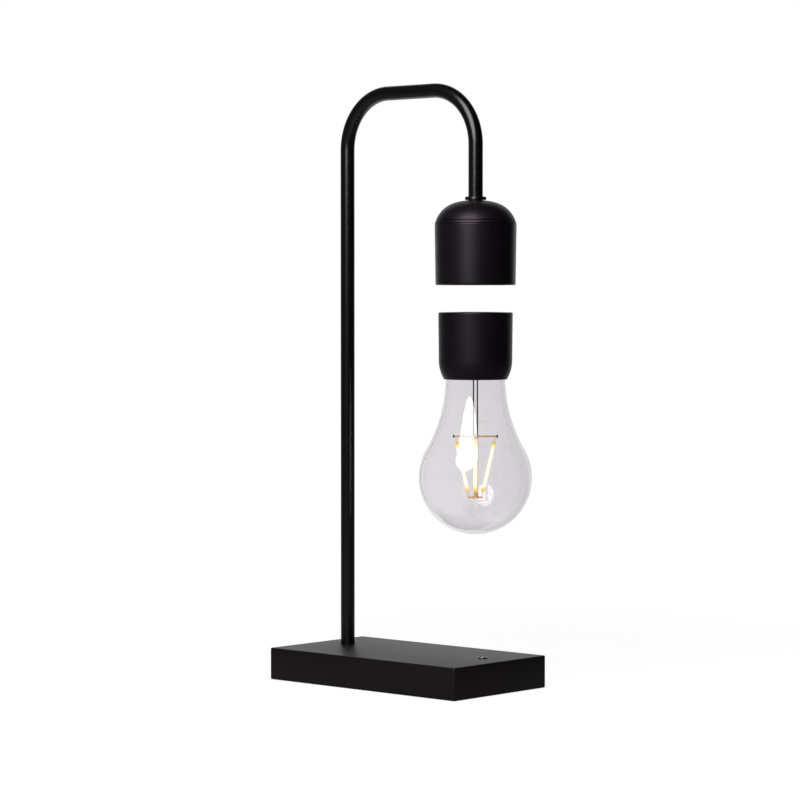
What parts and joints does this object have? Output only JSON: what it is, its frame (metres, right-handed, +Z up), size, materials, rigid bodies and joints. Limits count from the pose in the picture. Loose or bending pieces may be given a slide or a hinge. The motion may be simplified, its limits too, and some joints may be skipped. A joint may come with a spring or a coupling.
{
  "type": "levitating lamp",
  "caption": "Desk lamp with a flat charging base and a bent tube arm whose magnet head holds a filament bulb floating in the air below it.",
  "frame": {"origin": "middle of the underside of the rubber pad, at table level", "axes": "+Z up, +X along the long side of the base from the post to the head, +Y to the back, the side with the power inlet"},
  "size_m": [0.1902, 0.1, 0.4352],
  "materials": {
    "soft_black_plastic": "fine matt moulded plastic with a soft-touch coat",
    "satin_black_plastic": "satin moulded plastic",
    "matte_black_plastic": "matt moulded plastic",
    "inner_plastic": "plain moulded plastic, not seen",
    "painted_tube": "smooth black powder coat on steel tube",
    "collar_paint": "black lacquer on a turned collar",
    "rubber": "matt black rubber",
    "steel": "zinc-plated steel",
    "magnet_nickel": "nickel-plated magnet",
    "copper": "enamelled copper wire, wound",
    "ferrite": "sintered ferrite",
    "circuit_board": "green solder mask on glass-fibre board",
    "bulb_glass": "clear blown glass with a slight grey cast",
    "gold_wire": "gold-coloured formed wire",
    "lead_wire": "dark oxidised nickel wire",
    "filament": "phosphor-coated light-emitting strip, lit warm white"
  },
  "bodies": {
    "stand": {"base_shell": "soft_black_plastic", "base_cover": "inner_plastic", "base_pad": "rubber", "cover_screw_1": "steel", "cover_screw_2": "steel", "cover_screw_3": "steel", "cover_screw_4": "steel", "ballast_plate": "steel", "main_board": "circuit_board", "charge_coil": "copper", "charge_ferrite": "ferrite", "power_jack": "inner_plastic", "switch_body": "inner_plastic", "arm_tube": "painted_tube", "arm_wire": "rubber", "arm_washer": "steel", "arm_nut": "steel", "head_collar": "collar_paint", "head_dome": "satin_black_plastic", "head_ring": "satin_black_plastic", "head_shell": "satin_black_plastic", "head_plate": "satin_black_plastic", "head_lock_nut": "steel", "power_coil": "copper", "sensor_board": "circuit_board", "magnet_bobbin": "inner_plastic", "magnet_core": "steel", "magnet_winding": "copper", "magnet_yoke": "steel", "head_screw_1": "steel", "head_screw_2": "steel", "head_screw_3": "steel"},
    "button": {"power_button": "satin_black_plastic", "switch_plunger": "steel"},
    "lift": {"lift_magnet": "magnet_nickel"},
    "floating_bulb": {"cup_shell": "matte_black_plastic", "cup_lid": "matte_black_plastic", "magnet_carrier": "inner_plastic", "receiver_coil": "copper", "driver_board": "circuit_board", "bulb_holder": "inner_plastic", "bulb_glass": "bulb_glass", "upper_cross": "gold_wire", "lower_cross": "gold_wire", "lead_wire_short": "lead_wire", "lead_wire_long": "lead_wire", "filament_1": "filament", "filament_2": "filament", "filament_3": "filament", "filament_4": "filament"}
  },
  "joints": [
    {"name": "button_press", "type": "slide", "parent": "stand", "child": "button", "axis": [0, 0, 1], "range_m": [-0.0006, 0], "stiffness_N_per_m": 600, "springref_m": 0.0015},
    {"name": "bulb_lift", "type": "slide", "parent": "stand", "child": "lift", "axis": [0, 0, 1], "range_m": [-0.086, 0.0186], "stiffness_N_per_m": 60, "springref_m": 0.02108},
    {"name": "bulb_spin", "type": "hinge", "parent": "lift", "child": "floating_bulb", "pos_m": [0.06, 0.007, 0.25], "axis": [0, 0, 1], "continuous": true}
  ]
}
